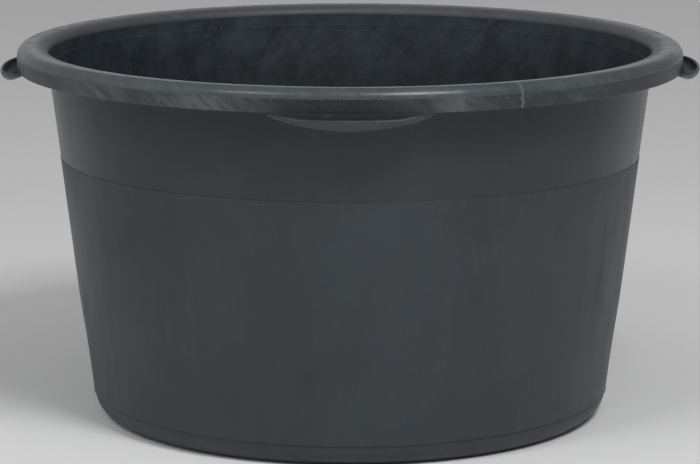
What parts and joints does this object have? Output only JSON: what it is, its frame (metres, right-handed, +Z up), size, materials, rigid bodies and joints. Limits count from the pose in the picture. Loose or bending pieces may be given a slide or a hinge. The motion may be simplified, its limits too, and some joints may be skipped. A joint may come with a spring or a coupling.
{
  "type": "mortar mixing tub",
  "caption": "Round open tub with tapering wall, rounded heel, domed rim with hanging skirt, and trough grips under the rim, for mixing and carrying mortar.",
  "frame": {"origin": "middle of the footprint, on the ground that the tub stands on", "axes": "+Z up along the tub's axis, -Y towards the front grip, +X towards the right grip"},
  "size_m": [0.714, 0.714, 0.381],
  "materials": {
    "wall_plastic": "matte dark slate-grey recycled polyethylene, with faint flow marks",
    "rim_plastic": "satin dark slate-grey recycled polyethylene, with flow marks and fine scuffs"
  },
  "bodies": {
    "root": {"base_plate": "wall_plastic", "gate_boss": "wall_plastic", "heel_ring": "wall_plastic", "lower_wall": "wall_plastic", "upper_wall": "wall_plastic", "mouth_collar": "wall_plastic", "rim_flange": "rim_plastic", "rim_skirt": "rim_plastic", "rim_webs": "rim_plastic", "front_grip": "rim_plastic", "rear_grip": "rim_plastic", "left_grip": "rim_plastic", "right_grip": "rim_plastic"}
  },
  "joints": []
}
